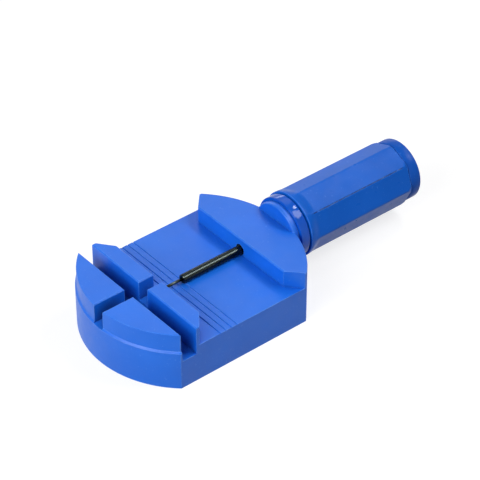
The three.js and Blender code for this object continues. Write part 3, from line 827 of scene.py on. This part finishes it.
def end_cap():
    plug = CAP_LOW.x
    rear = CAP_HIGH.x
    face = rear - CAP_LENGTH
    stations = [
        (plug, 0),
        (plug, PLUG_RADIUS - PLUG_CHAMFER),
        (plug + PLUG_CHAMFER, PLUG_RADIUS),
        (face, PLUG_RADIUS),
        (face, CAP_RADIUS - CAP_EASE),
        (face + CAP_EASE, CAP_RADIUS),
        *corner(rear - CAP_ROUND, CAP_RADIUS - CAP_ROUND, CAP_ROUND, 90),
        (rear, 0),
    ]
    bm = bmesh.new()
    add_rings(bm, stations, uniform_angles(ROUND_SIDES))
    weld(bm)
    piece = new_object("end_cap_plug", bm)
    drills = pin_drills(plug)
    cut = piece.modifiers.new("holes", "BOOLEAN")
    cut.operation = "DIFFERENCE"
    cut.solver = "EXACT"
    cut.object = drills
    apply_modifiers(piece)
    bpy.data.objects.remove(drills)
    return piece


def thread_column(start, end, share):
    """Points over all turns of a right-hand thread, at one share of the way round."""
    turns = math.ceil((end - start) / THREAD_PITCH) + 1
    points = []
    for turn in range(turns + 1):
        for place, depth in zip(THREAD_PLACE_SHARES, THREAD_DEPTH_SHARES):
            x = start + (turn - 1 + place + share) * THREAD_PITCH
            x = min(max(x, start), end)
            radius = THREAD_CREST_RADIUS - depth * (THREAD_CREST_RADIUS - THREAD_ROOT_RADIUS)
            radius = min(radius, THREAD_ROOT_RADIUS + min(x - start, end - x))
            points.append(around_axis(x, radius, TURN * share))
    return points


def add_thread(bm, start, end):
    """Helical skin of the thread, flattened onto the planes at both ends."""
    columns = []
    for column in range(THREAD_COLUMNS):
        points = thread_column(start, end, column / THREAD_COLUMNS)
        columns.append([bm.verts.new(point) for point in points])
    one_turn = len(THREAD_PLACE_SHARES)
    shifts = [0] * (THREAD_COLUMNS - 1) + [one_turn]
    for line, following, shift in zip(columns, columns[1:] + columns[:1], shifts):
        for step in range(len(line) - 1 - shift):
            other = step + shift
            bm.faces.new((line[step], following[other], following[other + 1], line[step + 1]))


def spindle():
    front = SPINDLE_LOW.x
    rear = SPINDLE_HIGH.x
    head = rear - HEAD_THICKNESS
    angles = uniform_angles(THREAD_COLUMNS)
    relief = THREAD_CREST_RADIUS - THREAD_ROOT_RADIUS
    hexagonal = hexagon(HEAD_ACROSS_FLATS)
    reach = HEAD_ACROSS_FLATS / 2 / math.cos(TURN / 12)
    socket = [
        (front, THREAD_ROOT_RADIUS),
        (front, SOCKET_RADIUS),
        (front + SOCKET_DEPTH, SOCKET_RADIUS),
        (front + SOCKET_DEPTH, 0),
    ]
    shank_and_head = [
        (THREAD_END_X, THREAD_ROOT_RADIUS),
        (THREAD_END_X + relief, THREAD_CREST_RADIUS),
        (head, THREAD_CREST_RADIUS),
        (head, smaller(hexagonal, reach - HEAD_CHAMFER)),
        (head + HEAD_CHAMFER, hexagonal),
        (rear - HEAD_CHAMFER, hexagonal),
        (rear, smaller(hexagonal, reach - HEAD_CHAMFER)),
        (rear, 0),
    ]
    bm = bmesh.new()
    add_thread(bm, front, THREAD_END_X)
    add_rings(bm, socket, angles)
    add_rings(bm, shank_and_head, angles)
    weld(bm)
    piece = new_object("screwed_spindle", bm)
    piece.data.set_sharp_from_angle(angle=math.radians(SHARP_DEGREES))
    return piece


def pin(name, node_name):
    low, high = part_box(node_name)
    middle = (low + high) / 2
    radius = (high.y - low.y) / 2
    stations = [
        (low.x, 0),
        *corner(low.x + PIN_TIP_ROUND, radius - PIN_TIP_ROUND, PIN_TIP_ROUND, 180, PIN_TIP_STEPS),
        (high.x, radius),
        (high.x, 0),
    ]
    bm = bmesh.new()
    add_rings(bm, stations, uniform_angles(PIN_SIDES))
    weld(bm)
    bmesh.ops.translate(bm, vec=(0, middle.y, middle.z - AXIS_Z), verts=bm.verts)
    return new_object(name, bm)


def build_plastic_pieces():
    blues = (SATIN_BLUE_DEEP, SATIN_BLUE)
    handle_blues = (HANDLE_BLUE_DEEP, HANDLE_BLUE)
    # darker cap blues: painted shade
    cap_blues = (CAP_SHADED_BLUE_DEEP, CAP_SHADED_BLUE)
    satin = (SATIN_REFLECTION_SHARE, SATIN_ROUGHNESS)
    handled = (HANDLED_REFLECTION_SHARE, HANDLED_ROUGHNESS)
    body_plastic = satin_plastic("satin_blue_plastic", blues, crevice_painted_shade, *satin)
    handle_plastic = satin_plastic("handled_blue_plastic", handle_blues, parting_painted_shade, *handled)
    cap_plastic = satin_plastic("cap_blue_plastic", cap_blues, crevice_painted_shade, *handled)
    body = softened_copy("moulded_body", "base_body", BODY_EDGE_ROUND)
    finish_piece(body, "body", "blue_satin", body_plastic, "base_body")
    finish_piece(collar(), "body", "blue_gloss", gloss_plastic(), "collar_bush")
    finish_piece(barrel(), "handle", "blue_satin", handle_plastic, "handle_barrel")
    finish_piece(end_cap(), "cap", "blue_satin", cap_plastic, "end_cap")


def build_steel_pieces():
    black = black_steel()
    bright = bright_steel()
    finish_piece(spindle(), "handle", "black_steel", black, "spindle")
    finish_piece(pin("pusher_pin_round", "pusher_pin"), "pusher", "black_steel", black, "pusher_pin")
    for index in range(SPARE_PIN_COUNT):
        node_name = f"spare_pin_{index + 1}"
        finish_piece(pin(f"{node_name}_round", node_name), "cap", "black_steel", black, node_name)
    for name, body_name in (("feed_nut", "body"), ("lock_nut", "handle"), ("lock_washer", "handle")):
        piece = softened_copy(f"{name}_eased", name, SMALL_EDGE_ROUND)
        finish_piece(piece, body_name, "bright_steel", bright, name)


# Floor, surroundings, lamps and camera

def seen_directly(tree):
    path = tree.nodes.new("ShaderNodeLightPath")
    first = arithmetic(tree, "MAXIMUM", path.outputs["Is Camera Ray"], path.outputs["Is Glossy Ray"])
    return arithmetic(tree, "MAXIMUM", first, path.outputs["Is Transmission Ray"])


def floor():
    bm = bmesh.new()
    bmesh.ops.create_grid(bm, x_segments=1, y_segments=1, size=FLOOR_HALF)
    bmesh.ops.translate(bm, vec=(0, 0, -FLOOR_DROP), verts=bm.verts)
    piece = new_object("floor", bm)
    made, tree, shader = material("pale_floor")
    shader.inputs["Base Color"].default_value = (*FLOOR_GREY, 1)
    shader.inputs["Roughness"].default_value = FLOOR_ROUGHNESS
    shader.inputs["Specular IOR Level"].default_value = 0
    glow = tree.nodes.new("ShaderNodeEmission")
    add = tree.nodes.new("ShaderNodeAddShader")
    place = tree.nodes.new("ShaderNodeTexCoord")
    away = vector_arithmetic(tree, "LENGTH", place.outputs["Object"])
    radii = (LIT_FLOOR_RADIUS, FAR_FLOOR_RADIUS)
    seen = spread(tree, away.outputs["Value"], *radii, SEEN_FLOOR, SEEN_FAR_FLOOR)
    tree.links.new(product(tree, seen_directly(tree), seen), glow.inputs["Strength"])
    tree.links.new(shader.outputs["BSDF"], add.inputs[0])
    tree.links.new(glow.outputs["Emission"], add.inputs[1])
    tree.links.new(add.outputs["Shader"], tree.nodes["Material Output"].inputs["Surface"])
    piece.data.materials.append(made)


def world():
    made = bpy.data.worlds.new("studio")
    bpy.context.scene.world = made
    made.use_nodes = True
    tree = made.node_tree
    background = tree.nodes["Background"]
    background.inputs["Color"].default_value = (1, 1, 1, 1)
    place = tree.nodes.new("ShaderNodeTexCoord")
    rise = tree.nodes.new("ShaderNodeSeparateXYZ")
    tree.links.new(place.outputs["Generated"], rise.inputs["Vector"])
    seen = spread(tree, rise.outputs["Z"], CEILING_START_RISE, 1, 1, CEILING_GREY)
    lift = product(tree, seen_directly(tree), arithmetic(tree, "SUBTRACT", seen, WORLD_LIGHT))
    tree.links.new(arithmetic(tree, "ADD", lift, WORLD_LIGHT), background.inputs["Strength"])


def lamp(name, azimuth, elevation, kind, watts):
    distance, width, height = kind
    light = bpy.data.lights.new(name, "AREA")
    light.shape = "RECTANGLE"
    light.size = width
    light.size_y = height
    light.energy = watts
    turn = math.radians(azimuth)
    rise = math.radians(elevation)
    away = Vector((math.cos(turn) * math.cos(rise), math.sin(turn) * math.cos(rise), math.sin(rise)))
    piece = bpy.data.objects.new(name, light)
    piece.location = Vector(LAMP_AIM) + away * distance
    piece.rotation_mode = "QUATERNION"
    piece.rotation_quaternion = (-away).to_track_quat("-Z", "Y")
    bpy.context.scene.collection.objects.link(piece)


def camera():
    azimuth = math.radians(CAMERA_AZIMUTH_DEGREES)
    elevation = math.radians(CAMERA_ELEVATION_DEGREES)
    back = Vector((
        math.sin(azimuth) * math.cos(elevation),
        -math.cos(azimuth) * math.cos(elevation),
        math.sin(elevation),
    ))
    right = Vector((math.cos(azimuth), math.sin(azimuth), 0))
    up = back.cross(right)
    data = bpy.data.cameras.new("camera")
    data.sensor_width = SENSOR_MM
    data.lens = LENS_MM
    data.clip_start = NEAREST_SEEN
    data.clip_end = FARTHEST_SEEN
    piece = bpy.data.objects.new("camera", data)
    place = back * CAMERA_DISTANCE + right * CAMERA_RIGHT + up * CAMERA_UP
    rotation = Matrix((right, up, back)).transposed()
    piece.matrix_world = Matrix.Translation(place) @ rotation.to_4x4()
    bpy.context.scene.collection.objects.link(piece)
    bpy.context.scene.camera = piece


bpy.context.scene.view_settings.view_transform = "Standard"
build_plastic_pieces()
build_steel_pieces()
floor()
world()
for lamp_name, settings in LAMPS.items():
    lamp(lamp_name, *settings)
camera()
